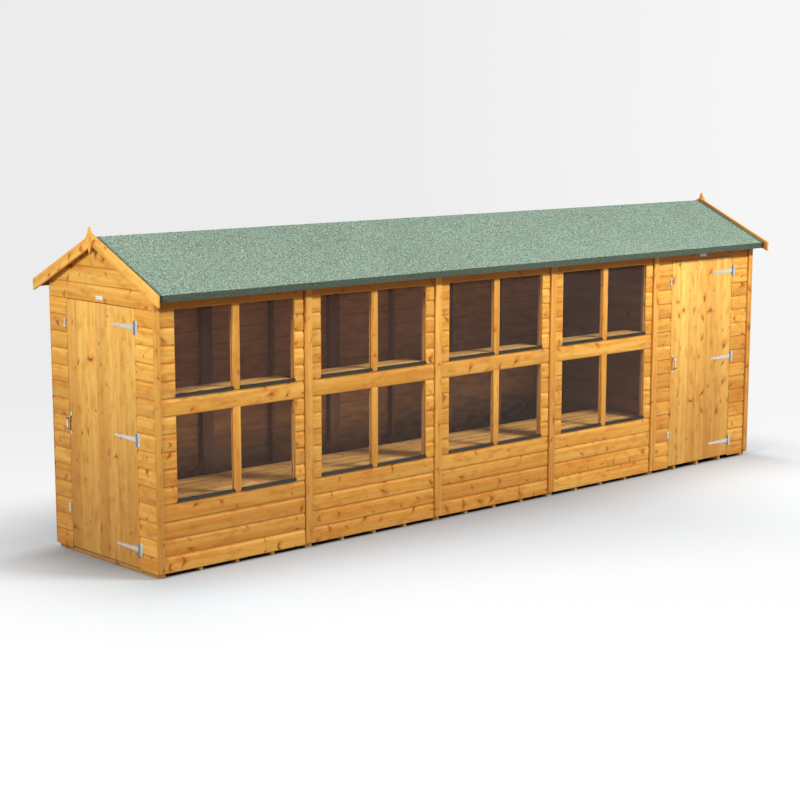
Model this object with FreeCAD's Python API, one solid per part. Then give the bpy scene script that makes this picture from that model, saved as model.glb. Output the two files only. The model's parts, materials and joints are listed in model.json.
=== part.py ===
import FreeCAD, Part
import math
import os

# Potting shed with a tool store at one end, millimetres, +Z up.
# The ridge runs along X, the windows face -Y, and the ground is at Z = 0.
# Each wall is drawn in its own frame: u runs along the wall, w runs inwards
# from the face of its cladding, and z runs up.

os.makedirs("parts", exist_ok=True)
V = FreeCAD.Vector

# Plan of the shed
panel_count = 5
window_panel_count = 4
panel_width = 1180.0
shed_depth = 1200.0

# Wall timbers and cladding
cladding_thickness = 12.0
frame_depth = 38.0
stud_width = 28.0
board_bearing = 12.0
board_cover = 111.6
cladding_bottom = 28.0
lip_thickness = 6.0
board_lap = 9.0
tongue_gap = 0.4
lap_gap = 0.6
cove_height = 24.0
cove_facets = 4
head_to_plate = 98.0
plate_height = 39.0

# Cover strips
strip_proud = 13.0
strip_bottom = 34.0
seam_strip_width = 56.0
corner_strip_width = 46.0
strip_groove = 8.0

# Floor
joist_width = 27.0
joist_height = 44.0
joists_per_panel = 5
deck_thickness = 12.0
deck_board_count = 10
deck_board_gap = 0.4
floor_edge_gap = 1.0

# Roof
roof_pitch_degrees = 25.0
eave_overhang = 88.0
gable_overhang = 30.0
roof_board_thickness = 11.0
felt_thickness = 2.5
felt_drop = 44.0
eaves_batten_width = 18.0
eaves_batten_rise = 3.0
rafter_depth = 38.0
rafter_end_gap = 1.0
bargeboard_thickness = 20.0
bargeboard_rise = 18.0
bargeboard_height = 74.0
bargeboard_overhang = 118.0
finial_thickness = 16.0
finial_tip_rise = 66.0
finial_widest_drop = 14.0
finial_foot_drop = 112.0
finial_half_width = 46.0
finial_waist = 0.36

# Windows: rows of boards up to the sill, the middle rail and the head
sill_row = 4
rail_row = 9
head_row = 15
window_width = 960.0
mullion_width = 50.0
mullion_depth = 35.0
bead_width = 10.0
stop_width = 5.0
stop_setback = 3.0
pane_thickness = 3.0
pane_gap = 1.0
drip_height = 22.0
drip_proud = 8.0
drip_nose = 3.0
drip_slope_start = 10.0
drip_top_setback = 4.0

# Shelf behind the middle rail and staging below the windows
shelf_thickness = 18.0
shelf_depth = 174.0
shelf_bearing = 14.0
bracket_reach = 140.0
staging_below_sill = 4.4
staging_slat_thickness = 18.0
staging_slat_count = 5
staging_slat_width = 100.0
staging_depth = 531.0
staging_wall_gap = 1.0
staging_start_gap = 190.0
staging_end_gap = 1.0
bearer_height = 45.0
bearer_width = 45.0
leg_depth = 28.0

# Wall braces and rails
brace_reach = 346.0
back_noggin_height = 930.0
stud_third = 290.0

# Doors
gable_door_width = 780.0
store_door_width = 764.0
door_bottom = 40.0
door_head_gap = 5.0
door_gap = 4.0
door_stop_lap = 14.0
door_head_stop = 10.0
door_board_count = 7
door_board_thickness = 12.0
door_board_chamfer = 1.5
ledge_thickness = 20.0
ledge_height = 100.0
ledge_end_gap = 16.0
door_brace_width = 90.0

# Tee hinges
hinge_from_foot = 120.0
hinge_from_head = 117.0
hinge_plate_thickness = 2.5
hinge_plate_height = 86.0
hinge_plate_width = 32.0
strap_length = 255.0
strap_root_width = 32.0
strap_tip_width = 14.0
knuckle_radius = 5.5
knuckle_offset = 6.0
strap_knuckle_extra = 2.0
knuckle_gap = 0.6
pin_radius = 3.0
pin_clearance = 0.05
pin_end = 1.0

# Screws
screw_head_radius = 4.2
screw_head_height = 1.8
screw_shank_radius = 2.0
screw_hole_clearance = 0.3
strap_screw_count = 4
strap_screw_first = 30.0
strap_screw_spacing = 65.0
plate_screw_end = 13.0
plate_screw_edge = 12.0

# Pull handle
handle_height_on_door = 877.0
handle_edge_inset = 22.0
handle_width = 18.0
handle_half_height = 73.0
handle_bar = 4.0
handle_reach = 35.0
handle_foot_inner = 50.0
handle_foot_outer = 53.0
handle_grip_inner = 35.0
handle_grip_outer = 38.0
handle_screw_height = 64.0

# Turn buttons
button_from_foot = 261.0
button_from_head = 159.0
button_edge_offset = 19.0
button_length = 60.0
button_width = 22.0
button_waist = 14.0
button_thickness = 4.7
button_gap = 0.3
button_washer_radius = 7.0
button_washer_thickness = 3.0
button_pin_radius = 2.5
button_head_radius = 5.5
button_head_height = 2.2

# Bare label plate above each door
label_width = 78.0
label_height = 26.0
label_thickness = 1.5
label_rise = 30.0

# Derived sizes
wall_thickness = cladding_thickness + frame_depth
shed_length = panel_count * panel_width + 2 * wall_thickness
half_length = shed_length / 2
half_depth = shed_depth / 2
cladding_half_depth = half_depth - strip_proud
inner_half_length = half_length - wall_thickness
inner_half_depth = cladding_half_depth - wall_thickness
head_height = cladding_bottom + head_row * board_cover
plate_underside = head_height + head_to_plate
slope = math.tan(math.radians(roof_pitch_degrees))
slope_cosine = math.cos(math.radians(roof_pitch_degrees))
felt_rise = felt_thickness / slope_cosine
roof_board_rise = roof_board_thickness / slope_cosine
rafter_rise = rafter_depth / slope_cosine
top_rail_rise = stud_width / slope_cosine
plate_run = cladding_half_depth - cladding_thickness
ridge_height = plate_underside + plate_height + plate_run * slope + felt_rise + roof_board_rise
finial_tip = ridge_height + finial_tip_rise
finial_widest = ridge_height - finial_widest_drop
finial_foot = ridge_height - finial_foot_drop
eave_reach = half_depth + eave_overhang
roof_half_length = half_length + gable_overhang
deck_top = joist_height + deck_thickness
rail_top = deck_top + stud_width
tongue_face = lip_thickness + tongue_gap
floor_half_length = half_length - cladding_thickness - floor_edge_gap
floor_half_depth = cladding_half_depth - cladding_thickness - floor_edge_gap
strip_cover = seam_strip_width / 2 + strip_groove
end_stud_width = strip_cover + board_bearing
corner_cover = corner_strip_width + strip_groove - wall_thickness
window_side = (panel_width - window_width) / 2
pane_face = cladding_thickness - pane_thickness
staging_top = cladding_bottom + sill_row * board_cover - staging_below_sill
door_top = head_height - door_head_gap
lowest_hinge = door_bottom + hinge_from_foot
highest_hinge = door_top - hinge_from_head
hinge_heights = [lowest_hinge, (lowest_hinge + highest_hinge) / 2, highest_hinge]
strap_screw_steps = [strap_screw_first + n * strap_screw_spacing for n in range(strap_screw_count)]
strap_knuckle_length = strap_root_width + strap_knuckle_extra
plate_screw_inset = hinge_plate_width - plate_screw_edge
plate_screw_spacing = hinge_plate_height / 2 - plate_screw_end
plate_screw_steps = [-plate_screw_spacing, 0.0, plate_screw_spacing]
button_heights = {"lower": door_bottom + button_from_foot, "upper": door_top - button_from_head}
partition_x = window_panel_count * panel_width - inner_half_length
partition_face = partition_x - wall_thickness / 2
front_wall = (0, 0, -cladding_half_depth)
back_wall = (180, 0, cladding_half_depth)
door_gable = (-90, -half_length, 0)
plain_gable = (90, half_length, 0)
partition_wall = (-90, partition_face, 0)
store_centre = partition_x + panel_width / 2


# Shapes
def box(u0, u1, w0, w1, z0, z1):
    return Part.makeBox(u1 - u0, w1 - w0, z1 - z0, V(u0, w0, z0))


def prism(corners, path):
    wire = Part.makePolygon(corners + corners[:1])
    return Part.Face(wire).extrude(path)


def along_u(outline, u0, u1):
    return prism([V(u0, w, z) for w, z in outline], V(u1 - u0, 0, 0))


def along_w(outline, w0, w1):
    return prism([V(u, w0, z) for u, z in outline], V(0, w1 - w0, 0))


def along_z(outline, z0, z1):
    return prism([V(u, w, z0) for u, w in outline], V(0, 0, z1 - z0))


def rod_along_w(u, z, radius, w0, w1):
    return Part.makeCylinder(radius, w1 - w0, V(u, w0, z), V(0, 1, 0))


def rod_along_z(u, w, radius, z0, z1):
    return Part.makeCylinder(radius, z1 - z0, V(u, w, z0), V(0, 0, 1))


def on_wall(shapes, wall, shift=0.0):
    turn, x, y = wall
    slide = FreeCAD.Placement(V(shift, 0, 0), FreeCAD.Rotation())
    place = FreeCAD.Placement(V(x, y, 0), FreeCAD.Rotation(V(0, 0, 1), turn))
    matrix = place.multiply(slide).toMatrix()
    return [shape.transformed(matrix, True) for shape in shapes]


def save(node, shapes):
    Part.makeCompound(shapes).exportStep("parts/" + node + ".step")


# Heights shared by the walls and the roof
def row_height(row):
    return cladding_bottom + row * board_cover


def roof_top(y):
    return ridge_height - abs(y) * slope


def board_underside(y):
    return roof_top(y) - felt_rise - roof_board_rise


def rafter_underside(y):
    return board_underside(y) - rafter_rise


def panel_start(index):
    return index * panel_width - inner_half_length


# Cladding
def cove(top):
    points = []
    for step in range(cove_facets + 1):
        angle = math.radians(90.0 * step / cove_facets)
        points.append((tongue_face * math.sin(angle), top - cove_height * math.cos(angle)))
    return points


def board_back(bottom):
    return [(cladding_thickness, bottom + board_lap), (lip_thickness, bottom + board_lap),
            (lip_thickness, bottom)]


def shiplap(row, u0, u1, tongue=True):
    bottom = row_height(row)
    top = row_height(row + 1)
    end = top + board_lap - lap_gap if tongue else top
    crest = [(tongue_face, end), (cladding_thickness, end)]
    outline = [(0, bottom)] + cove(top) + crest + board_back(bottom)
    if not tongue:
        outline.remove((tongue_face, end))
    return along_u(outline, u0, u1)


def eaves_board(u0, u1):
    bottom = head_height
    crest = [(0, board_underside(cladding_half_depth)),
             (cladding_thickness, board_underside(cladding_half_depth - cladding_thickness))]
    return along_u([(0, bottom)] + crest + board_back(bottom), u0, u1)


def cladding_ends(index):
    left = corner_cover if index == 0 else strip_cover
    right = corner_cover if index == panel_count - 1 else strip_cover
    return left, panel_width - right


def full_cladding(index):
    left, right = cladding_ends(index)
    boards = [shiplap(row, left, right) for row in range(head_row)]
    return boards + [eaves_board(left, right)]


def window_cladding(index):
    left, right = cladding_ends(index)
    boards = [eaves_board(left, right)]
    for row in range(head_row):
        if row < sill_row or row == rail_row:
            under_window = row in (sill_row - 1, rail_row)
            boards.append(shiplap(row, left, right, tongue=not under_window))
        else:
            boards.append(shiplap(row, left, window_side))
            boards.append(shiplap(row, window_side + window_width, right))
    return boards


def boards_beside_door(left, right, middle, door_width):
    reach = door_width / 2 + door_gap
    boards = []
    for row in range(head_row):
        boards.append(shiplap(row, left, middle - reach))
        boards.append(shiplap(row, middle + reach, right))
    return boards


def store_cladding():
    left, right = cladding_ends(panel_count - 1)
    sides = boards_beside_door(left, right, panel_width / 2, store_door_width)
    return sides + [eaves_board(left, right)]


def under_slope(bottom, underside, half_width):
    eave = underside(half_width)
    outline = [(-half_width, bottom), (half_width, bottom), (half_width, eave),
               (0, underside(0)), (-half_width, eave)]
    return along_w(outline, 0, cladding_thickness)


def sloped_boards(first_row, bottom, underside, half_width):
    limit = under_slope(bottom, underside, half_width)
    boards = []
    row = first_row
    while row_height(row) < underside(0):
        boards.append(shiplap(row, -half_width, half_width).common(limit).Solids[0])
        row += 1
    return boards


def door_gable_cladding():
    edge = cladding_half_depth
    sides = boards_beside_door(-edge, edge, 0, gable_door_width)
    return sides + sloped_boards(head_row, cladding_bottom, board_underside, edge)


def plain_gable_cladding():
    return sloped_boards(0, cladding_bottom, board_underside, cladding_half_depth)


def partition_boards():
    return sloped_boards(0, deck_top, rafter_underside, inner_half_depth)


# Wall frames
def upright(u0, z0, z1, width=stud_width):
    return box(u0, u0 + width, cladding_thickness, wall_thickness, z0, z1)


def level_rail(u0, u1, z0, height=stud_width):
    return box(u0, u1, cladding_thickness, wall_thickness, z0, z0 + height)


def wall_plate():
    outline = [(cladding_thickness, plate_underside), (wall_thickness, plate_underside),
               (wall_thickness, board_underside(inner_half_depth)),
               (cladding_thickness, board_underside(cladding_half_depth - cladding_thickness))]
    return along_u(outline, 0, panel_width)


# The end studs reach past the cover strip's groove, so that the boards bear on them and no light comes through.
def end_studs():
    return [upright(u, rail_top, plate_underside, end_stud_width) for u in (0, panel_width - end_stud_width)]


def window_frame():
    left = window_side
    right = window_side + window_width
    middle = (panel_width - stud_width) / 2
    sill = row_height(sill_row)
    timbers = end_studs() + [wall_plate(), level_rail(0, panel_width, deck_top)]
    timbers += [upright(u, rail_top, plate_underside) for u in (left - stud_width, right)]
    timbers.append(upright(middle, rail_top, sill - stud_width))
    timbers.append(level_rail(left, right, sill - stud_width))
    timbers.append(level_rail(left, right, row_height(rail_row)))
    timbers.append(level_rail(left, right, row_height(rail_row + 1) - stud_width))
    timbers.append(level_rail(left, right, head_height))
    return timbers


def corner_brace(corner, direction):
    slant = stud_width * math.sqrt(2)
    far = corner + direction * brace_reach
    near = corner + direction * (brace_reach - slant)
    outline = [(corner, rail_top + brace_reach), (corner, rail_top + brace_reach - slant),
               (near, rail_top), (far, rail_top)]
    return along_w(outline, cladding_thickness, wall_thickness)


def back_frame():
    middle = (panel_width - stud_width) / 2
    timbers = end_studs() + [wall_plate(), level_rail(0, panel_width, deck_top)]
    timbers.append(upright(middle, rail_top, plate_underside))
    timbers.append(level_rail(end_stud_width, middle, back_noggin_height))
    timbers.append(level_rail(middle + stud_width, panel_width - end_stud_width, back_noggin_height))
    timbers.append(corner_brace(end_stud_width, 1))
    timbers.append(corner_brace(panel_width - end_stud_width, -1))
    return timbers


def store_frame():
    middle = panel_width / 2
    stop = store_door_width / 2 + door_gap - door_stop_lap
    head = door_top - door_head_stop
    timbers = end_studs() + [wall_plate(), level_rail(middle - stop, middle + stop, head)]
    for u in (middle - stop - stud_width, middle + stop):
        timbers.append(upright(u, deck_top, plate_underside))
    timbers.append(level_rail(0, middle - stop - stud_width, deck_top))
    timbers.append(level_rail(middle + stop + stud_width, panel_width, deck_top))
    return timbers


def stud_under_slope(u0, z0, underside):
    u1 = u0 + stud_width
    foot = top_rail_rise
    outline = [(u0, z0), (u1, z0), (u1, underside(u1) - foot), (u0, underside(u0) - foot)]
    return along_w(outline, cladding_thickness, wall_thickness)


def sloped_rails(underside, half_width):
    rails = []
    for side in (-1, 1):
        low = underside(half_width)
        high = underside(0)
        outline = [(side * half_width, low), (0, high), (0, high - top_rail_rise),
                   (side * half_width, low - top_rail_rise)]
        rails.append(along_w(outline, cladding_thickness, wall_thickness))
    return rails


def door_gable_frame():
    edge = cladding_half_depth
    stop = gable_door_width / 2 + door_gap - door_stop_lap
    timbers = sloped_rails(board_underside, edge)
    for u in (-edge, edge - stud_width):
        timbers.append(stud_under_slope(u, rail_top, board_underside))
    for u in (-stop - stud_width, stop):
        timbers.append(stud_under_slope(u, deck_top, board_underside))
    timbers.append(level_rail(-stop, stop, door_top - door_head_stop))
    timbers.append(level_rail(-edge, -stop - stud_width, deck_top))
    timbers.append(level_rail(stop + stud_width, edge, deck_top))
    return timbers


def plain_frame(underside, edge):
    timbers = sloped_rails(underside, edge) + [level_rail(-edge, edge, deck_top)]
    for u in (-edge, -stud_third, stud_third - stud_width, edge - stud_width):
        timbers.append(stud_under_slope(u, rail_top, underside))
    timbers.append(level_rail(stud_width - stud_third, stud_third - stud_width, back_noggin_height))
    return timbers


# Windows
def window_mullions():
    left = (panel_width - mullion_width) / 2
    spans = [(sill_row, rail_row), (rail_row + 1, head_row)]
    return [box(left, left + mullion_width, 0, mullion_depth, row_height(low), row_height(high))
            for low, high in spans]


def pane_openings():
    middle = panel_width / 2
    half_mullion = mullion_width / 2
    sides = [(window_side, middle - half_mullion), (middle + half_mullion, window_side + window_width)]
    rows = [(sill_row, rail_row), (rail_row + 1, head_row)]
    return [(u0, u1, row_height(low), row_height(high)) for low, high in rows for u0, u1 in sides]


def window_panes():
    panes = []
    for u0, u1, z0, z1 in pane_openings():
        panes.append(box(u0 + pane_gap, u1 - pane_gap, pane_face, pane_face + pane_thickness,
                         z0, z1 - pane_gap))
    return panes


def glazing_beads():
    beads = []
    inner = pane_face + pane_thickness
    for u0, u1, z0, z1 in pane_openings():
        foot = z0 + drip_height
        for u in (u0, u1 - stop_width):
            beads.append(box(u, u + stop_width, stop_setback, pane_face, foot, z1))
        beads.append(box(u0 + stop_width, u1 - stop_width, stop_setback, pane_face, z1 - stop_width, z1))
        for u in (u0, u1 - bead_width):
            beads.append(box(u, u + bead_width, inner, inner + bead_width, z0, z1))
    return beads


def drip_bars():
    bars = []
    for u0, u1, z0, z1 in pane_openings():
        outline = [(tongue_face, z0), (pane_face, z0), (pane_face, z0 + drip_height),
                   (drip_top_setback, z0 + drip_height), (-drip_proud, z0 + drip_slope_start),
                   (-drip_proud, z0 + drip_nose)]
        bars.append(along_u(outline, u0, u1))
    return bars


# Shelf and staging
def window_shelf():
    top_of_rail = row_height(rail_row + 1)
    left = window_side
    right = window_side + window_width
    near = wall_thickness - shelf_bearing
    pieces = [box(left, right, near, near + shelf_depth, top_of_rail, top_of_rail + shelf_thickness)]
    for u in (left, (panel_width - stud_width) / 2, right - stud_width):
        pieces.append(box(u, u + stud_width, wall_thickness, wall_thickness + bracket_reach,
                          top_of_rail - stud_width, top_of_rail))
    return pieces


def staging_joints():
    start = staging_start_gap - inner_half_length
    end = partition_face - staging_end_gap
    return [start] + [panel_start(i) for i in range(1, window_panel_count)] + [end]


def staging_slats():
    near = wall_thickness + staging_wall_gap
    step = (staging_depth - staging_slat_width) / (staging_slat_count - 1)
    joints = staging_joints()
    slats = []
    for start, end in zip(joints[:-1], joints[1:]):
        for slat in range(staging_slat_count):
            w0 = near + slat * step
            slats.append(box(start, end, w0, w0 + staging_slat_width,
                             staging_top - staging_slat_thickness, staging_top))
    return slats


def staging_frame():
    joints = staging_joints()
    last = len(joints) - 1
    half = bearer_width / 2
    centres = [joints[0] + half] + joints[1:last] + [joints[last] - half]
    centres += [(a + b) / 2 for a, b in zip(joints[:-1], joints[1:])]
    near = wall_thickness + staging_wall_gap
    far = near + staging_depth
    top = staging_top - staging_slat_thickness
    timbers = []
    for centre in centres:
        u0 = centre - half
        u1 = centre + half
        timbers.append(box(u0, u1, near, far, top - bearer_height, top))
        for w0 in (near, far - leg_depth):
            timbers.append(box(u0, u1, w0, w0 + leg_depth, deck_top, top - bearer_height))
    return timbers


# Cover strips
def strip_outline(w0, w1, bottom):
    return [(w0, bottom), (w1, bottom), (w1, board_underside(cladding_half_depth - w1)),
            (w0, board_underside(cladding_half_depth - w0))]


def seam_strips():
    outline = strip_outline(-strip_proud, cladding_thickness, strip_bottom)
    strips = []
    for index in range(1, panel_count):
        seam = panel_start(index)
        strips.append(along_u(outline, seam - seam_strip_width / 2, seam + seam_strip_width / 2))
    return strips


def corner_strips():
    outline = strip_outline(-strip_proud, 0, strip_bottom)
    return [along_u(outline, -half_length, corner_strip_width - half_length),
            along_u(outline, half_length - corner_strip_width, half_length)]


# Floor
def floor_seams():
    inner = [panel_start(index) for index in range(1, panel_count)]
    return [-floor_half_length] + inner + [floor_half_length]


def floor_joists():
    seams = floor_seams()
    starts = [seams[0], seams[-1] - joist_width]
    seams[0] += joist_width
    seams[-1] -= joist_width
    for start, end in zip(seams[:-1], seams[1:]):
        step = (end - start - joist_width) / (joists_per_panel - 1)
        starts += [start + number * step for number in range(joists_per_panel)]
    return [box(u, u + joist_width, -floor_half_depth, floor_half_depth, 0, joist_height) for u in starts]


def floor_deck():
    boards = []
    seams = floor_seams()
    width = 2 * floor_half_depth / deck_board_count
    for start, end in zip(seams[:-1], seams[1:]):
        for number in range(deck_board_count):
            w0 = number * width - floor_half_depth
            boards.append(box(start, end, w0, w0 + width - deck_board_gap, joist_height, deck_top))
    return boards


# Roof, drawn on the front slope and mirrored to the back
def slope_band(side, top, bottom, near, far):
    return [(side * near, top(near)), (side * far, top(far)), (side * far, bottom(far)),
            (side * near, bottom(near))]


def roof_panel_ends():
    seams = [panel_start(index) for index in range(1, panel_count)]
    return [-roof_half_length] + seams + [roof_half_length]


def board_top(y):
    return roof_top(y) - felt_rise


def roof_boards(side):
    ends = roof_panel_ends()
    outline = slope_band(side, board_top, board_underside, 0, eave_reach - felt_thickness)
    return [along_u(outline, start, end) for start, end in zip(ends[:-1], ends[1:])]


def roof_felt(side):
    inner = eave_reach - felt_thickness
    low = roof_top(eave_reach) - felt_drop
    outline = [(0, roof_top(0)), (side * eave_reach, roof_top(eave_reach)), (side * eave_reach, low),
               (side * inner, low), (side * inner, board_top(inner)), (0, board_top(0))]
    return [along_u(outline, -roof_half_length, roof_half_length)]


def eaves_battens():
    outer = eave_reach - felt_thickness
    inner = outer - eaves_batten_width
    low = roof_top(eave_reach) - felt_drop + eaves_batten_rise
    battens = []
    for side in (-1, 1):
        outline = [(side * outer, low), (side * outer, board_underside(outer)),
                   (side * inner, board_underside(inner)), (side * inner, low)]
        battens.append(along_u(outline, -roof_half_length, roof_half_length))
    return battens


def roof_frames():
    timbers = []
    foot = inner_half_depth - rafter_end_gap
    rail_run = stud_width * slope_cosine
    rail_places = [0, (foot - rail_run) / 2, foot - rail_run]
    for side in (-1, 1):
        rafter = slope_band(side, board_underside, rafter_underside, 0, foot)
        for index in range(panel_count):
            start = panel_start(index) + rafter_end_gap
            end = panel_start(index + 1) - rafter_end_gap
            timbers.append(along_u(rafter, start, start + stud_width))
            timbers.append(along_u(rafter, end - stud_width, end))
            for near in rail_places:
                rail = slope_band(side, board_underside, rafter_underside, near, near + rail_run)
                timbers.append(along_u(rail, start + stud_width, end - stud_width))
    return timbers


def bargeboards(side):
    reach = half_depth + bargeboard_overhang
    start = roof_half_length if side > 0 else -roof_half_length - bargeboard_thickness
    boards = []
    for slope_side in (-1, 1):
        outline = slope_band(slope_side, lambda y: roof_top(y) + bargeboard_rise,
                             lambda y: roof_top(y) + bargeboard_rise - bargeboard_height, 0, reach)
        boards.append(along_u(outline, start, start + bargeboard_thickness))
    return boards


def finial(side):
    waist = finial_half_width * finial_waist
    upper = (finial_tip + finial_widest) / 2
    lower = (finial_foot + finial_widest) / 2
    outline = [(0, finial_tip), (waist, upper), (finial_half_width, finial_widest), (waist, lower),
               (0, finial_foot), (-waist, lower), (-finial_half_width, finial_widest), (-waist, upper)]
    start = roof_half_length + bargeboard_thickness
    if side < 0:
        start = -start - finial_thickness
    return along_u(outline, start, start + finial_thickness)


# Doors, drawn about the middle of the doorway with the hinges on the +u side
def door_boards(width):
    step = width / door_board_count
    chamfer = door_board_chamfer
    boards = []
    for number in range(door_board_count):
        u0 = number * step - width / 2
        u1 = u0 + step
        outline = [(u0, chamfer), (u0 + chamfer, 0), (u1 - chamfer, 0), (u1, chamfer),
                   (u1, door_board_thickness), (u0, door_board_thickness)]
        boards.append(along_z(outline, door_bottom, door_top))
    return boards


def door_ledges(width):
    back = door_board_thickness + ledge_thickness
    reach = width / 2 - ledge_end_gap
    half = ledge_height / 2
    pieces = [box(-reach, reach, door_board_thickness, back, z - half, z + half) for z in hinge_heights]
    for low, high in zip(hinge_heights[:-1], hinge_heights[1:]):
        outline = [(reach - door_brace_width, low + half), (reach, low + half),
                   (door_brace_width - reach, high - half), (-reach, high - half)]
        pieces.append(along_w(outline, door_board_thickness, back))
    return pieces


def hinge_axis(width):
    return width / 2 + door_gap / 2


def screw(u, z):
    plate = -hinge_plate_thickness
    head = rod_along_w(u, z, screw_head_radius, plate - screw_head_height, plate)
    return head.fuse(rod_along_w(u, z, screw_shank_radius, plate, 0)).removeSplitter()


def screw_hole(u, z):
    radius = screw_shank_radius + screw_hole_clearance
    return rod_along_w(u, z, radius, -2 * hinge_plate_thickness, hinge_plate_thickness)


def strap_screw_places(width):
    axis = hinge_axis(width)
    return [(axis - step, z) for z in hinge_heights for step in strap_screw_steps]


def plate_screw_places(width):
    u = hinge_axis(width) + plate_screw_inset
    return [(u, z + step) for z in hinge_heights for step in plate_screw_steps]


def knuckle(width, z0, z1):
    axis = hinge_axis(width)
    return rod_along_z(axis, -knuckle_offset, knuckle_radius, z0, z1)


def knuckle_bore(width, z0, z1):
    return rod_along_z(hinge_axis(width), -knuckle_offset, pin_radius + pin_clearance, z0, z1)


def strap(width, z):
    axis = hinge_axis(width)
    root = strap_root_width / 2
    tip = strap_tip_width / 2
    end = axis - strap_length + tip
    outline = [(axis, z - root), (axis, z + root), (end, z + tip), (end, z - tip)]
    leaf = along_w(outline, -hinge_plate_thickness, 0)
    nose = rod_along_w(end, z, tip, -hinge_plate_thickness, 0)
    half = strap_knuckle_length / 2
    shape = leaf.fuse([nose, knuckle(width, z - half, z + half)])
    shape = shape.cut(knuckle_bore(width, z - half, z + half))
    for step in strap_screw_steps:
        shape = shape.cut(screw_hole(axis - step, z))
    return shape.removeSplitter().Solids[0]


def hinge_plate(width, z):
    axis = hinge_axis(width)
    half = hinge_plate_height / 2
    inner = strap_knuckle_length / 2 + knuckle_gap
    leaf = box(axis, axis + hinge_plate_width, -hinge_plate_thickness, 0, z - half, z + half)
    turned = rod_along_z(axis, -knuckle_offset, knuckle_radius + knuckle_gap, z - inner, z + inner)
    ends = [knuckle(width, z - half, z - inner), knuckle(width, z + inner, z + half)]
    shape = leaf.cut(turned).fuse(ends).cut(knuckle_bore(width, z - half, z + half))
    for step in plate_screw_steps:
        shape = shape.cut(screw_hole(axis + plate_screw_inset, z + step))
    return shape.removeSplitter().Solids[0]


def hinge_pin(width, z):
    reach = hinge_plate_height / 2 + pin_end
    return rod_along_z(hinge_axis(width), -knuckle_offset, pin_radius, z - reach, z + reach)


def handle_middle(width):
    return handle_edge_inset - width / 2


def pull_handle(width):
    middle = handle_middle(width)
    z = handle_height_on_door
    inner_reach = handle_reach - handle_bar
    upper = [(0, handle_half_height), (0, handle_foot_inner), (-inner_reach, handle_grip_inner)]
    lower = [(w, -rise) for w, rise in reversed(upper)]
    front = [(-handle_bar, handle_half_height), (-handle_bar, handle_foot_outer),
             (-handle_reach, handle_grip_outer)]
    behind = [(w, -rise) for w, rise in front]
    outline = [(w, z + rise) for w, rise in upper + lower + behind + front[::-1]]
    half = handle_width / 2
    shape = along_u(outline, middle - half, middle + half)
    for rise in (-handle_screw_height, handle_screw_height):
        radius = screw_shank_radius + screw_hole_clearance
        shape = shape.cut(rod_along_w(middle, z + rise, radius, -2 * handle_bar, handle_bar))
    return shape.Solids[0]


def handle_screws(width):
    middle = handle_middle(width)
    screws = []
    for rise in (-handle_screw_height, handle_screw_height):
        z = handle_height_on_door + rise
        head = rod_along_w(middle, z, screw_head_radius, -handle_bar - screw_head_height, -handle_bar)
        screws.append(head.fuse(rod_along_w(middle, z, screw_shank_radius, -handle_bar, 0)).removeSplitter())
    return screws


# Turn buttons beside the opening edge of each door
def button_place(width):
    return -width / 2 - button_edge_offset


def button_levels():
    inner = -button_washer_thickness - button_gap
    return inner - button_thickness, inner


def turn_button(width, z):
    u = button_place(width)
    outer, inner = button_levels()
    end = button_width / 2
    waist = button_waist / 2
    straight = button_length / 2 - end
    lobes = [rod_along_w(u, z + rise, end, outer, inner) for rise in (-straight, straight)]
    bar = box(u - waist, u + waist, outer, inner, z - straight, z + straight)
    bore = rod_along_w(u, z, button_pin_radius + pin_clearance, outer, inner)
    return bar.fuse(lobes).cut(bore).removeSplitter().Solids[0]


def button_pivot(width, z):
    u = button_place(width)
    outer, inner = button_levels()
    washer = rod_along_w(u, z, button_washer_radius, -button_washer_thickness, 0)
    pin = rod_along_w(u, z, button_pin_radius, outer - button_gap, -button_washer_thickness)
    head = rod_along_w(u, z, button_head_radius, outer - button_gap - button_head_height,
                       outer - button_gap)
    return washer.fuse([pin, head]).removeSplitter().Solids[0]


def label_plate():
    z = head_height + label_rise
    half = label_height / 2
    return box(-label_width / 2, label_width / 2, -label_thickness, 0, z - half, z + half)


# Build the walls
window_fittings = {"window_mullions": window_mullions, "window_panes": window_panes,
                   "glazing_beads": glazing_beads, "drip_bars": drip_bars, "window_shelves": window_shelf}
for node, draw in window_fittings.items():
    pieces = []
    for index in range(window_panel_count):
        pieces += on_wall(draw(), front_wall, panel_start(index))
    save(node, pieces)
for index in range(window_panel_count):
    number = str(index + 1)
    save("window_frame_" + number, on_wall(window_frame(), front_wall, panel_start(index)))
    save("window_cladding_" + number, on_wall(window_cladding(index), front_wall, panel_start(index)))
store_index = panel_count - 1
save("store_frame", on_wall(store_frame(), front_wall, panel_start(store_index)))
save("store_cladding", on_wall(store_cladding(), front_wall, panel_start(store_index)))
back_timbers = []
back_boards = []
for index in range(panel_count):
    back_timbers += on_wall(back_frame(), back_wall, panel_start(index))
    back_boards += on_wall(full_cladding(index), back_wall, panel_start(index))
save("back_frames", back_timbers)
save("back_cladding", back_boards)
save("door_gable_frame", on_wall(door_gable_frame(), door_gable))
save("door_gable_cladding", on_wall(door_gable_cladding(), door_gable))
save("plain_gable_frame", on_wall(plain_frame(board_underside, cladding_half_depth), plain_gable))
save("plain_gable_cladding", on_wall(plain_gable_cladding(), plain_gable))
save("partition_frame", on_wall(plain_frame(rafter_underside, inner_half_depth), partition_wall))
save("partition_boards", on_wall(partition_boards(), partition_wall))
save("front_cover_strips", on_wall(seam_strips(), front_wall))
save("back_cover_strips", on_wall(seam_strips(), back_wall))
save("corner_strips", on_wall(corner_strips(), front_wall) + on_wall(corner_strips(), back_wall))

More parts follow.
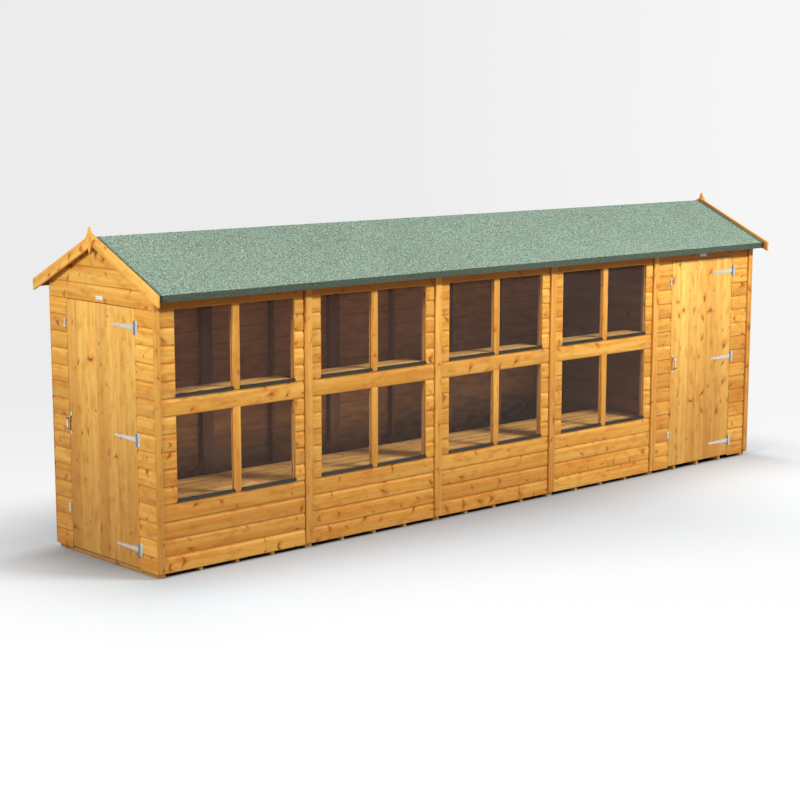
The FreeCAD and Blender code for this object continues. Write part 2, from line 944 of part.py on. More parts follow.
# Build the floor, staging and roof
save("floor_joists", floor_joists())
save("floor_deck", floor_deck())
save("staging_slats", on_wall(staging_slats(), front_wall))
save("staging_frame", on_wall(staging_frame(), front_wall))
save("roof_frames", roof_frames())
save("roof_boards_front", roof_boards(-1))
save("roof_boards_back", roof_boards(1))
save("roof_felt_front", roof_felt(-1))
save("roof_felt_back", roof_felt(1))
save("eaves_battens", eaves_battens())
save("bargeboards_left", bargeboards(-1))
save("bargeboards_right", bargeboards(1))
save("finials", [finial(-1), finial(1)])

# Build the doors and their ironmongery
doorways = {"gable": (gable_door_width, door_gable, 0.0), "store": (store_door_width, front_wall, store_centre)}
plates = []
pins = []
plate_screws = []
pivots = []
labels = []
for name, (width, wall, middle) in doorways.items():
    prefix = name + "_door_"
    save(prefix + "boards", on_wall(door_boards(width), wall, middle))
    save(prefix + "ledges", on_wall(door_ledges(width), wall, middle))
    save(prefix + "straps", on_wall([strap(width, z) for z in hinge_heights], wall, middle))
    save(prefix + "handle", on_wall([pull_handle(width)], wall, middle))
    screws = [screw(u, z) for u, z in strap_screw_places(width)] + handle_screws(width)
    save(prefix + "screws", on_wall(screws, wall, middle))
    plates += on_wall([hinge_plate(width, z) for z in hinge_heights], wall, middle)
    pins += on_wall([hinge_pin(width, z) for z in hinge_heights], wall, middle)
    plate_screws += on_wall([screw(u, z) for u, z in plate_screw_places(width)], wall, middle)
    for button_name, z in button_heights.items():
        save(name + "_button_" + button_name, on_wall([turn_button(width, z)], wall, middle))
        pivots += on_wall([button_pivot(width, z)], wall, middle)
    labels += on_wall([label_plate()], wall, middle)
save("hinge_plates", plates)
save("hinge_pins", pins)
save("plate_screws", plate_screws)
save("button_pivots", pivots)
save("label_plates", labels)
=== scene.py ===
import json
import math

import bmesh
import bpy
import numpy as np
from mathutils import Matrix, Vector


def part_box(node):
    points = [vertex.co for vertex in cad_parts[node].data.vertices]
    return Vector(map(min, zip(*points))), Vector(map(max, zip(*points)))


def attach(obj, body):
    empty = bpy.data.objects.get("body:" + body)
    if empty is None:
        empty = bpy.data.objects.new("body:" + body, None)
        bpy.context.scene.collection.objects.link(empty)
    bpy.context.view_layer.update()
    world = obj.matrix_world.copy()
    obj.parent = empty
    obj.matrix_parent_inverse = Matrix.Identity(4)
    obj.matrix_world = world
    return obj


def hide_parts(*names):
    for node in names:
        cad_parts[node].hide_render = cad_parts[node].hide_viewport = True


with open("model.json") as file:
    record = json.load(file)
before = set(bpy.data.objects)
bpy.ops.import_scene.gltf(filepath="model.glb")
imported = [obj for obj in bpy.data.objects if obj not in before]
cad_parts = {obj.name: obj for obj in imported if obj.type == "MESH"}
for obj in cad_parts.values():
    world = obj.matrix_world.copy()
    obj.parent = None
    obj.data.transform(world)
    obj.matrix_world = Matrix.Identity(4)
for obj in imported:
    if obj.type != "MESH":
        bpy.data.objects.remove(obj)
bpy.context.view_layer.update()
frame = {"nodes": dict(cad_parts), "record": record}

# Shiplap boards, in metres like every length here, on the same courses as the solids
board_cover = 0.1116
cladding_bottom = 0.028
cladding_thickness = 0.012
lip_thickness = 0.006
lip_round = 0.0015
tongue_face = 0.0064
tongue_height = 0.0084
board_lap = 0.009
cove_height = 0.024
cove_steps = 9
board_play = 0.0003
cut_board_ease = lip_round * 0.6
cut_board_segments = 1
size_slack = 0.0005
back_depth = 3 * size_slack

# Where the painted shade on the boards changes
eaves_course = cladding_bottom + 15 * board_cover
gable_face = 2.97
long_wall_face = 0.565
store_start = 1.75

# Roofing felt
felt_thickness = 0.0025
felt_fold_radius = 0.006
felt_wave = 0.0009
felt_waves = 6
felt_pitch_along, felt_pitch_along_step = 1.7, 1.3
felt_pitch_down, felt_pitch_down_step = 3, 2.1
felt_stations = 161
felt_slope_steps = 14
felt_turn_steps = 5
felt_drop_steps = 4

# Nails
nail_radius = 0.0024
nail_height = 0.0007
nail_top_share = 0.7
nail_sides = 10
nail_end_inset = 0.02
nail_rise = 0.036
nail_spacing = 0.56

# Hinge knuckles and pull handles
knuckle_reach = 0.0062
grip_bend = 0.021
foot_bend = 0.006
bend_width = 0.015
bend_segments = 8
least_bend = 40
most_bend = 80

# Screws
screw_head_radius = 0.0042
screw_head_height = 0.0018
screw_rim_share = 0.35
screw_rings = 5
screw_sides = 24
screw_slot_depth = 0.0011
screw_slot_half_width = 0.0005
screw_slot_half_length = 0.0026

# Knots and felt granules; rows, granules and clusters are counted to a metre
knot_rows_along = 6.6
knot_rows_across = 9.6
knot_scatter = 0.75
knot_pair_gap = 0.008
knot_length = 0.0075
knot_length_spread = 0.018
knot_slant = 2.4
knot_width = 0.36
knot_taper = 0.14
pin_rows_along = 11
pin_rows_across = 17
granules = 330
granule_clusters = 96

# Edges, in degrees: those that turn more than sharp_edge are eased, and those that turn less
# than smooth_edge are shaded round
sharp_edge = 28
smooth_edge = 25
flat_edge = 0.5
edge_segments = 2
timber_ease = {"trim": 0.0022, "door": 0.0012, "framing": 0.0015, "floor": 0.0015,
               "staging": 0.0018, "roof_sheet": 0.001}
bead_ease = 0.0015
fitting_ease = {"drip_bars": 0.0018, "label_plates": 0.0005, "hinge_plates": 0.0006,
                "hinge_pins": 0.0008, "button_pivots": 0.0005, "gable_door_handle": 0.0014,
                "store_door_handle": 0.0014}
small_ease = 0.0007

# Chance: each piece is cut from a random spot within tree_spread, and the gable trim is paler
random_seed = 41
tree_spread = 30
pale_lift = 0.6

# Which way the cladding, the bargeboards and the handles face
to_front, to_back, to_left, to_right = (0, -1, 0), (0, 1, 0), (-1, 0, 0), (1, 0, 0)
wall_faces = {
    "window_cladding_1": to_front, "window_cladding_2": to_front, "window_cladding_3": to_front,
    "window_cladding_4": to_front, "store_cladding": to_front, "back_cladding": to_back,
    "door_gable_cladding": to_left, "plain_gable_cladding": to_right, "partition_boards": to_left,
}
barge_faces = {"bargeboards_left": to_left, "bargeboards_right": to_right}
handle_faces = {"gable_door_handle": to_left, "store_door_handle": to_front}


def display(red, green, blue):
    """A colour as a screen shows it, 0 to 255, turned into the linear colour that shaders take."""
    parts = [value / 255 for value in (red, green, blue)]
    linear = [p / 12.92 if p <= 0.04045 else ((p + 0.055) / 1.055) ** 2.4 for p in parts]
    return (*linear, 1.0)


# Wiring of shaders and node trees
class Value:
    """A socket whose arithmetic adds Math nodes."""

    def __init__(self, wiring, socket):
        self.wiring = wiring
        self.socket = socket

    def __abs__(self):
        return self.wiring.math("ABSOLUTE", self)

    def __add__(self, other):
        return self.wiring.math("ADD", self, other)

    def __sub__(self, other):
        return self.wiring.math("SUBTRACT", self, other)

    def __rsub__(self, other):
        return self.wiring.math("SUBTRACT", other, self)

    def __mul__(self, other):
        return self.wiring.math("MULTIPLY", self, other)

    def __truediv__(self, other):
        return self.wiring.math("DIVIDE", self, other)

    def __rtruediv__(self, other):
        return self.wiring.math("DIVIDE", other, self)

    def __mod__(self, other):
        return self.wiring.math("FLOORED_MODULO", self, other)

    def __rmod__(self, other):
        return self.wiring.math("FLOORED_MODULO", other, self)

    __radd__ = __add__
    __rmul__ = __mul__


class Wiring:
    """Nodes of one tree, each added with its settings first and its sockets after them."""

    def __init__(self, tree):
        self.tree = tree

    def add(self, kind, settings=None, inputs=None, output=0):
        """Adds a node and returns its output, or a list where a tuple asks for several."""
        node = self.tree.nodes.new(kind)
        for key, setting in (settings or {}).items():
            setattr(node, key, setting)
        for key, value in (inputs or {}).items():
            self.feed(node.inputs[key], value)
        if isinstance(output, tuple):
            return [Value(self, node.outputs[key]) for key in output]
        return Value(self, node.outputs[output])

    def feed(self, socket, value):
        if isinstance(value, Value):
            self.tree.links.new(value.socket, socket)
        else:
            socket.default_value = value

    def math(self, operation, *values):
        return self.add("ShaderNodeMath", {"operation": operation}, dict(enumerate(values)))

    def larger(self, first, second):
        return self.math("MAXIMUM", first, second)

    def split(self, vector):
        return self.add("ShaderNodeSeparateXYZ", inputs={0: vector}, output=(0, 1, 2))

    def join(self, x, y, z):
        return self.add("ShaderNodeCombineXYZ", inputs={0: x, 1: y, 2: z})

    def scaled(self, vector, factor):
        inputs = {0: vector, "Scale": factor}
        return self.add("ShaderNodeVectorMath", {"operation": "SCALE"}, inputs)

    def blend(self, factor, first, second):
        inputs = {0: factor, 6: first, 7: second}
        return self.add("ShaderNodeMix", {"data_type": "RGBA"}, inputs, 2)

    def ease(self, value, start, end):
        """0 up to the start, 1 from the end on, and smooth between them."""
        inputs = {"Value": value, "From Min": start, "From Max": end}
        return self.add("ShaderNodeMapRange", {"interpolation_type": "SMOOTHSTEP"}, inputs)

    def past(self, value, place, softness):
        """0 before a place and 1 beyond it, with a soft step."""
        return self.ease(value, place - softness, place + softness)


class Finish(Wiring):
    """A surface finish around one Principled shader."""

    def __init__(self, name, **constants):
        self.material = bpy.data.materials.new(name)
        self.material.use_nodes = True
        super().__init__(self.material.node_tree)
        self.shader = self.tree.nodes["Principled BSDF"]
        for key, value in constants.items():
            self.set(key, value)

    def set(self, key, value):
        self.feed(self.shader.inputs[key.replace("_", " ")], value)

    def attribute(self, name, output="Fac"):
        return self.add("ShaderNodeAttribute", {"attribute_name": name}, output=output)

    def place(self):
        return self.add("ShaderNodeTexCoord", output="Object")

    def noise(self, vector, scale=1.0, detail=2.0, roughness=0.5):
        inputs = {"Vector": vector, "Scale": scale, "Detail": detail, "Roughness": roughness}
        return self.add("ShaderNodeTexNoise", inputs=inputs)

    def cells(self, vector, scale=1.0, flat=False, scatter=1.0, output=("Color", "Distance")):
        settings = {"voronoi_dimensions": "2D" if flat else "3D"}
        inputs = {"Vector": vector, "Scale": scale, "Randomness": scatter}
        return self.add("ShaderNodeTexVoronoi", settings, inputs, output)

    def bump(self, height, distance, strength):
        inputs = {"Height": height, "Distance": distance, "Strength": strength}
        self.set("Normal", self.add("ShaderNodeBump", inputs=inputs))


# Finishes
def spike_knots(wood, along, across, share):
    """Knots cut lengthwise: tapered red-brown spikes at random slants, some in pairs like a V.
    Returns their core, halo and redness."""
    spot = wood.join(along * knot_rows_along, across * knot_rows_across, 0.0)
    chance, centre = wood.cells(spot, flat=True, scatter=knot_scatter, output=("Color", "Position"))
    kind, size, slant = wood.split(chance)
    centre_along, centre_across, _ = wood.split(centre)
    by_grain = along - centre_along / knot_rows_along
    over_grain = across - centre_across / knot_rows_across
    paired = wood.ease((kind * 31.7) % 1.0, 0.7, 0.71)
    mirrored = abs(over_grain) - knot_pair_gap
    over_grain = over_grain + (mirrored - over_grain) * paired
    angle = (slant - 0.5) * knot_slant
    cosine = wood.math("COSINE", angle)
    sine = wood.math("SINE", angle)
    length = size * size * knot_length_spread + knot_length
    lengthwise = (by_grain * cosine + over_grain * sine) / length
    width = length * (lengthwise * knot_taper + knot_width)
    sideways = (over_grain * cosine - by_grain * sine) / width
    ragged = wood.noise(wood.join(along * 90, across * 140, size * 9)) - 0.5
    reach = wood.math("SQRT", lengthwise * lengthwise + sideways * sideways) + ragged * 1.2
    chosen = wood.ease(kind, 1 - share, 1.02 - share)
    core = (1 - wood.ease(reach, 0.5, 1.2)) * chosen
    halo = (1 - wood.ease(reach, 0.8, 3.4)) * chosen
    return core, halo, slant


def pin_knots(wood, along, across):
    """Small dark dots where twigs were."""
    spot = wood.join(along * pin_rows_along, across * pin_rows_across, 0.0)
    chance, gap = wood.cells(spot, flat=True)
    kind, size, _ = wood.split(chance)
    return (1 - wood.ease(gap, 0.02, 0.05 + size * 0.03)) * wood.ease(kind, 0.78, 0.8)


def shade_courses(wood, colour, level, deep, back):
    """Paints shade into the joints between boards, where the lips shade the coves, onto the top
    course under the eaves and onto the tops of the gables."""
    length, side, height = wood.split(wood.place())
    rise = ((height - cladding_bottom) / board_cover) % 1.0
    painted_joint_shade = wood.larger(wood.ease(rise, 0.9, 0.97), 1 - wood.ease(rise, 0.0, 0.06))
    on_gable = wood.past(abs(length), gable_face, 0.01)
    on_long_wall = wood.past(abs(side), long_wall_face, 0.005) * (1 - on_gable)
    painted_eave_shade = wood.ease(height, eaves_course, eaves_course + 0.003) * on_long_wall
    painted_peak_shade = wood.ease(height, 1.66, 1.95) * on_gable
    colour = wood.blend(painted_joint_shade * 0.34, colour, deep)
    colour = wood.blend(painted_eave_shade * 0.66, colour, deep)
    level = level * (1 - painted_joint_shade * back * 0.2) * (1 - painted_eave_shade * 0.12) * (1 - painted_peak_shade * 0.14)
    return colour, level


def shade_backs(wood, colour, level, back_colour_with_shade, back, cloud):
    """Gives the sawn backs a colour that is partly their own and partly painted shade, with more
    painted shade that grows toward the floor and the partition, lies in patches, and is weaker in
    the store."""
    length, _, height = wood.split(wood.place())
    by_the_floor = (1 - wood.ease(height, 0.42, 0.68)) * 0.3
    below_the_rail = (1 - wood.ease(height, 0.6, 1.5)) * 0.36
    to_partition = wood.ease(length, -1.0, 1.5) * 0.3
    patches = wood.ease(cloud, 0.35, 0.65) * 0.18
    painted_back_shade = by_the_floor + below_the_rail + to_partition + patches - 0.08
    in_store = wood.past(length, store_start, 0.05)
    colour = wood.blend(back * 0.82, colour, back_colour_with_shade)
    return colour, level * (1 - back * painted_back_shade * (1 - in_store * 0.65))


def timber(name, pale, warm, deep, knot, knot_share=0.5, band_depth=1.0, streak=0.35,
           stain_range=0.36, shade_toward_floor=0.0, back_colour_and_shade=None, coursed=False, dullness=0.56):
    """Softwood whose grain runs along each piece, read from the piece's own grain place and tone,
    and each piece stained to its own depth, with painted shade that grows toward the floor. A back
    colour, partly the sawn back's own colour and partly painted shade, shows on what is marked as
    the sawn back, and coursed boards get painted shade by their courses."""
    pale, warm, deep, knot = (display(*colour) for colour in (pale, warm, deep, knot))
    wood = Finish(name, Specular_IOR_Level=0.22)
    along, across, depth = wood.split(wood.attribute("grain", "Vector"))
    tone = wood.attribute("tone")
    _, _, height = wood.split(wood.place())

    def figure(stretch, spacing, over, **grade):
        """Noise drawn out along the grain."""
        return wood.noise(wood.join(along * stretch, over * spacing, depth * spacing), **grade)

    sway = figure(1.3, 5, across, detail=1.0) - 0.5
    core, halo, redness = spike_knots(wood, along, across + sway * 0.04, knot_share)
    pins = pin_knots(wood, along, across)
    bent = across + sway * 0.05 + halo * 0.012
    bands = figure(0.8, 26, bent)
    lines = figure(2.4, 130, bent, detail=3.0, roughness=0.6)
    fibres = figure(26, 900, across)
    cloud = figure(9, 22, across, detail=3.0)
    heart = wood.noise(wood.join(along + 7.3, bent * 15, depth * 15), detail=3.0)
    # Painted shade: darker and deeper in colour toward the floor
    painted_shade = (1 - wood.ease(height, 0.1, 1.7)) * shade_toward_floor
    colour = wood.blend(wood.ease(bands, 0.3, 0.7) * band_depth, pale, warm)
    for depth_of_stain in (
            wood.ease(lines, 0.5, 0.72) * 0.34 * band_depth, wood.ease(heart, 0.54, 0.74) * streak,
            wood.ease(cloud, 0.46, 0.76) * 0.5, painted_shade * 0.45 + (1 - tone) * stain_range, halo * 0.6):
        colour = wood.blend(depth_of_stain, colour, deep)
    colour = wood.blend(core * (0.6 + redness * 0.4), colour, knot)
    colour = wood.blend(pins * 0.8, colour, knot)
    level = (1.06 + (tone - 0.5) * 0.12 + (fibres - 0.5) * 0.16) * (1 - painted_shade * 0.38)
    if back_colour_and_shade:
        back = wood.attribute("back")
        if coursed:
            colour, level = shade_courses(wood, colour, level, deep, back)
        colour, level = shade_backs(wood, colour, level, display(*back_colour_and_shade), back, cloud)
    wood.set("Base_Color", wood.scaled(colour, level))
    wood.set("Roughness", dullness + (lines - 0.5) * 0.25 - core * 0.08)
    wood.bump(lines * 0.5 + fibres * 0.3 - core * 0.4, 0.0007, 0.6)
    return wood.material


def mineral_felt():
    """Green mineral felt: fine granules, some pale and some dark, in loose clusters, with painted
    shade on the fold and in a band beside the bargeboards."""
    felt = Finish("mineral_felt", Specular_IOR_Level=0.2)
    place = felt.place()
    along_ridge, _, _ = felt.split(place)
    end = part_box("roof_felt_front")[1].x
    # Painted shade in a band beside the bargeboards
    painted_shade = felt.ease(abs(along_ridge), end - 0.055, end - 0.025)
    chance, gap = felt.cells(place, granules)
    granule, _, _ = felt.split(chance)
    cluster = felt.noise(place, granule_clusters, 3.0, 0.8)
    broad = felt.noise(place, 2.4, 3.0)
    speck = granule * 0.3 + cluster * 1.6 - 0.45
    colour = felt.blend(felt.ease(speck, 0.2, 0.5), display(52, 72, 57), display(130, 153, 133))
    colour = felt.blend(felt.ease(speck, 0.5, 0.85), colour, display(206, 220, 206))
    # Painted shade on the fold
    in_shade = felt.blend(0.3, felt.scaled(colour, 0.36), display(66, 66, 50))
    colour = felt.blend(felt.attribute("fold"), colour, in_shade)
    felt.set("Base_Color", felt.scaled(colour, (0.9 + broad * 0.2) * (1 - painted_shade * 0.6)))
    felt.set("Roughness", 0.92 + granule * 0.08)
    felt.bump(gap + cluster, 0.0012, 0.8)
    return felt.material


def pane_glass():
    """Clear sheet with a faint brown film, thicker in places."""
    glass = Finish("pane_glass", Specular_IOR_Level=0.5, Base_Color=display(134, 112, 100))
    film = glass.noise(glass.place(), 6.0, 4.0)
    glass.set("Roughness", 0.03 + glass.ease(film, 0.45, 0.75) * 0.06)
    glass.set("Alpha", 0.08 + glass.ease(film, 0.4, 0.8) * 0.03)
    return glass.material


def bright_zinc():
    """Zinc plate with a soft spangle and small dull patches."""
    zinc = Finish("bright_zinc")
    place = zinc.place()
    chance, _ = zinc.cells(place, 160)
    spangle, _, _ = zinc.split(chance)
    dull = zinc.noise(place, 55, 4.0, 0.6)
    share = spangle * 0.6 + dull * 0.4
    zinc.set("Base_Color", zinc.blend(share, display(196, 195, 192), display(232, 230, 226)))
    zinc.set("Metallic", 0.72 + spangle * 0.1)
    zinc.set("Roughness", 0.38 + dull * 0.2)
    zinc.bump(dull, 0.0002, 0.4)
    return zinc.material


def mottled(name, scale, detail, dark, light, smooth, spread, **constants):
    """A finish that runs in patches from dark to light, and from smooth to rougher by a spread.
    Returns it with its patches."""
    coat = Finish(name, **constants)
    patches = coat.noise(coat.place(), scale, detail)
    coat.set("Base_Color", coat.blend(patches, display(*dark), display(*light)))
    coat.set("Roughness", smooth + patches * spread)
    return coat, patches


def slate_plastic():
    plastic, _ = mottled("slate_plastic", 40, 4.0, (25, 28, 28), (42, 46, 45), 0.4, 0.2,
                         Specular_IOR_Level=0.22)
    plastic.bump(plastic.noise(plastic.place(), 900), 0.0002, 0.4)
    return plastic.material


def dipped_nail():
    """Nail heads that took the timber's stain."""
    nail, stain = mottled("dipped_nail", 240, 2.0, (166, 108, 48), (206, 150, 82), 0.45, 0.2,
                          Specular_IOR_Level=0.4)
    nail.set("Metallic", 0.2 + stain * 0.3)
    return nail.material


shiplap_timber = timber(
    "shiplap_timber", (250, 197, 96), (236, 168, 66), (190, 100, 26), (144, 66, 6),
    stain_range=0.26, shade_toward_floor=0.4, back_colour_and_shade=(176, 112, 68), coursed=True)
trim_timber = timber(
    "trim_timber", (242, 188, 91), (228, 159, 66), (192, 108, 34), (144, 66, 6),
    knot_share=0.44, streak=0.25, stain_range=0.2, shade_toward_floor=0.5, back_colour_and_shade=(196, 126, 54))
door_timber = timber(
    "door_timber", (251, 206, 108), (239, 176, 78), (194, 106, 32), (142, 66, 6),
    knot_share=0.38, band_depth=0.7, streak=0.25, stain_range=0.24, shade_toward_floor=0.6)
frame_timber = timber(
    "frame_timber", (196, 144, 90), (176, 122, 70), (140, 86, 44), (96, 54, 28),
    knot_share=0.4, dullness=0.7)
# Painted shade: darker timber for the back frames and the partition inside the shed
shaded_timber = timber(
    "shaded_timber", (122, 84, 58), (106, 70, 46), (84, 52, 34), (62, 38, 24),
    knot_share=0.3, dullness=0.75)
floor_timber = timber(
    "floor_timber", (206, 160, 100), (188, 138, 78), (150, 98, 48), (104, 60, 30),
    knot_share=0.45, dullness=0.66)
staging_timber = timber(
    "staging_timber", (253, 206, 122), (243, 183, 92), (196, 130, 54), (116, 66, 32),
    knot_share=0.45, streak=0.2, stain_range=0.1, dullness=0.62)
roof_timber = timber(
    "roof_timber", (176, 130, 82), (158, 110, 62), (126, 80, 42), (90, 50, 26),
    knot_share=0.35, dullness=0.72)
bare_plate, _ = mottled("bare_plate", 70, 3.0, (226, 226, 222), (240, 240, 237), 0.3, 0.15,
                        Specular_IOR_Level=0.5)
# Painted shade for the hinge knuckles: a darker zinc where they wrap the pins
oiled_knuckle, _ = mottled("oiled_knuckle", 300, 2.0, (104, 116, 124), (146, 156, 162), 0.35, 0.2,
                           Metallic=0.5)
polished_pull, _ = mottled("polished_pull", 90, 3.0, (214, 205, 192), (238, 231, 220), 0.12, 0.12,
                           Metallic=1.0)
slot_finishes = {
    "cladding": shiplap_timber, "trim": trim_timber, "door": door_timber, "framing": frame_timber,
    "floor": floor_timber, "staging": staging_timber, "roof_sheet": roof_timber,
    "felt": mineral_felt(), "panes": pane_glass(), "drip": slate_plastic(), "zinc": bright_zinc(),
    "label": bare_plate.material,
}
own_finishes = {
    "partition_boards": shaded_timber, "back_frames": shaded_timber,
    "gable_door_handle": polished_pull.material, "store_door_handle": polished_pull.material,
}
nail_finish = dipped_nail()


# Meshes and pieces
record = frame["record"]
slot_of = {part["node"]: part["material_slot"] for part in record["subparts"]}
body_of = {node: body for body, nodes in record["behaviour"]["bodies"].items() for node in nodes}


def placed(name, data):
    """An object of the scene, at the origin."""
    thing = bpy.data.objects.new(name, data)
    bpy.context.scene.collection.objects.link(thing)
    return thing


def closed_mesh(bm, name):
    """The mesh of a finished bm."""
    mesh = bpy.data.meshes.new(name)
    bm.to_mesh(mesh)
    bm.free()
    return mesh


def mesh_points(mesh):
    points = np.zeros(len(mesh.vertices) * 3, np.float32)
    mesh.vertices.foreach_get("co", points)
    return points.reshape(-1, 3).astype(float)


def mark(mesh, name, kind, values):
    """Writes values on a mesh's vertices, for the finishes and node trees to read."""
    field = "vector" if kind == "FLOAT_VECTOR" else "value"
    mesh.attributes.new(name, kind, "POINT").data.foreach_set(field, np.ravel(values))


def solids_of(node):
    """Each solid of a node, as points and triangles: its triangles follow each other until the
    shell closes."""
    mesh = frame["nodes"][node].data
    points = mesh_points(mesh)
    corners = np.zeros(len(mesh.loops), np.int32)
    mesh.loops.foreach_get("vertex_index", corners)
    # Corners that agree to a hundredth of a millimetre are one corner
    hundredths = np.round(points * 1e5).astype(np.int64)
    _, ids = np.unique(hundredths, axis=0, return_inverse=True)
    ids = ids.reshape(-1)
    solids = []
    shell = []
    waiting = set()
    for triangle in ids[corners.reshape(-1, 3)]:
        shell.append(triangle)
        for edge in zip(triangle, np.roll(triangle, -1)):
            if edge[::-1] in waiting:
                waiting.remove(edge[::-1])
            else:
                waiting.add(edge)
        if not waiting:
            used, faces = np.unique(np.array(shell), return_inverse=True)
            first = np.array([np.argmax(ids == corner) for corner in used])
            solids.append((points[first], faces.reshape(-1, 3)))
            shell = []
    return solids


def round_bends(one, outward):
    """Rounds the bends of a pull handle into a bow, wide at the grip and tight at the feet."""
    reach = [vert.co.dot(outward) for vert in one.verts]
    middle = (min(reach) + max(reach)) / 2
    for at_grip, radius in ((True, grip_bend), (False, foot_bend)):
        bends = [edge for edge in one.edges
                 if len(edge.link_faces) == 2 and edge.calc_length() > bend_width
                 and least_bend < math.degrees(edge.calc_face_angle()) < most_bend
                 and (edge.verts[0].co.dot(outward) > middle) == at_grip]
        bmesh.ops.bevel(one, geom=bends, offset=radius, segments=bend_segments, profile=0.5,
                        affect="EDGES", clamp_overlap=True)


def eased_into(bm, solid, ease, segments, bow=None):
    """Adds one solid to bm with its sharp edges rounded, and a handle's bends in a bow."""
    points, faces = solid
    one = bmesh.new()
    verts = [one.verts.new(point) for point in points]
    for face in faces:
        one.faces.new([verts[i] for i in face])
    bmesh.ops.dissolve_limit(one, angle_limit=math.radians(flat_edge), verts=one.verts,
                             edges=one.edges)
    if bow:
        round_bends(one, Vector(bow))
    sharp = [edge for edge in one.edges
             if len(edge.link_faces) == 2 and edge.calc_face_angle() > math.radians(sharp_edge)]
    bmesh.ops.bevel(one, geom=sharp, offset=ease, segments=segments, profile=0.5, affect="EDGES",
                    clamp_overlap=True)
    part = closed_mesh(one, "part")
    bm.from_mesh(part)
    bpy.data.meshes.remove(part)


def eased_mesh(node, ease, bow=None):
    """All the solids of a node with their edges rounded."""
    bm = bmesh.new()
    for solid in solids_of(node):
        eased_into(bm, solid, ease, edge_segments, bow)
    return closed_mesh(bm, node)


def islands(mesh):
    """The lowest vertex of the loose piece that each vertex belongs to."""
    edges = np.zeros(len(mesh.edges) * 2, np.int32)
    mesh.edges.foreach_get("vertices", edges)
    one, two = edges.reshape(-1, 2).T
    label = np.arange(len(mesh.vertices))
    while True:
        lower = label.copy()
        np.minimum.at(lower, one, label[two])
        np.minimum.at(lower, two, label[one])
        lower = lower[lower]
        if np.array_equal(lower, label):
            return label
        label = lower


def grain_axes(points, run, leaning):
    """Axes along, across and through a piece: along a given axis, along a leaning piece, or along
    its longest side."""
    if leaning:
        return np.linalg.eigh(np.cov((points - points.mean(0)).T))[1][:, ::-1]
    extent = np.ptp(points, axis=0)
    if run is not None:
        extent[run] = np.inf
    return np.eye(3)[:, np.argsort(-extent)]


def mark_grain(mesh, node, run=None, leaning=False, lift=0.0):
    """Gives every loose piece its own grain place, which starts at a random spot of the tree, and
    its own tone."""
    chance = np.random.default_rng([random_seed] + list(node.encode()))
    points = mesh_points(mesh)
    grain = np.zeros_like(points)
    tone = np.zeros(len(points))
    label = islands(mesh)
    for piece in np.unique(label):
        member = label == piece
        axes = grain_axes(points[member], run, leaning)
        start = chance.uniform(-tree_spread, tree_spread, 3)
        grain[member] = (points[member] - points[member].mean(0)) @ axes + start
        tone[member] = chance.random() + lift
    mark(mesh, "grain", "FLOAT_VECTOR", grain)
    mark(mesh, "tone", "FLOAT", tone)


def mark_back(mesh, outward):
    """Marks the vertices on the back plane of boards that face outward."""
    out = mesh_points(mesh) @ np.array(outward, float)
    mark(mesh, "back", "FLOAT", (out < out.min() + back_depth).astype(float))


def show(mesh, name, body, finish):
    """A finished piece: smooth where its faces turn gently, in its finish, riding on its body."""
    mesh.polygons.foreach_set("use_smooth", np.ones(len(mesh.polygons), bool))
    mesh.set_sharp_from_angle(angle=math.radians(smooth_edge))
    mesh.materials.clear()
    mesh.materials.append(finish)
    mesh.name = name
    piece = placed(name, mesh)
    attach(piece, body)
    return piece


def show_for(node, mesh, making):
    """A finished piece in the place of a node, named for its making."""
    slot = slot_of[node]
    finish = own_finishes.get(node, slot_finishes[slot])
    piece = show(mesh, f"{node}_{making}", body_of[node], finish)
    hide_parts(node)
    return piece


# Node trees
def node_tree(name, **sockets):
    """A geometry tree with named inputs, as its wiring and a table of input values."""
    sockets = {"Geometry": "Geometry", **sockets}
    tree = bpy.data.node_groups.new(name, "GeometryNodeTree")
    tree.interface.new_socket("Geometry", in_out="OUTPUT", socket_type="NodeSocketGeometry")
    for socket, kind in sockets.items():
        tree.interface.new_socket(socket, in_out="INPUT", socket_type="NodeSocket" + kind)
    wiring = Wiring(tree)
    return wiring, dict(zip(sockets, wiring.add("NodeGroupInput", output=tuple(sockets))))


def end_tree(wiring, geometry, material):
    real = wiring.add("GeometryNodeRealizeInstances", inputs={0: geometry})
    inputs = {"Geometry": real, "Material": material}
    dressed = wiring.add("GeometryNodeSetMaterial", inputs=inputs)
    wiring.add("NodeGroupOutput", inputs={0: dressed}, output=())
    return wiring.tree


def level_curves(wiring, geometry, offset):
    """Course lines moved by an offset, as curves that are kept upright."""
    inputs = {"Geometry": geometry, "Offset": offset}
    lines = wiring.add("GeometryNodeSetPosition", inputs=inputs)
    curves = wiring.add("GeometryNodeMeshToCurve", inputs={0: lines})
    return wiring.add("GeometryNodeSetCurveNormal", {"mode": "Z_UP"}, {0: curves})


def grown(mesh, tree, **values):
    """The plain mesh that a tree makes from a mesh."""
    holder = placed("holder", mesh)
    grower = holder.modifiers.new("grower", "NODES")
    grower.node_group = tree
    for item in tree.interface.items_tree:
        if item.in_out == "INPUT" and item.name in values:
            grower[item.identifier] = values[item.name]
    made = evaluated_mesh(holder)
    holder.modifiers.remove(grower)
    bpy.data.objects.remove(holder)
    return made


def evaluated_mesh(thing):
    graph = bpy.context.evaluated_depsgraph_get()
    return bpy.data.meshes.new_from_object(thing.evaluated_get(graph), depsgraph=graph)


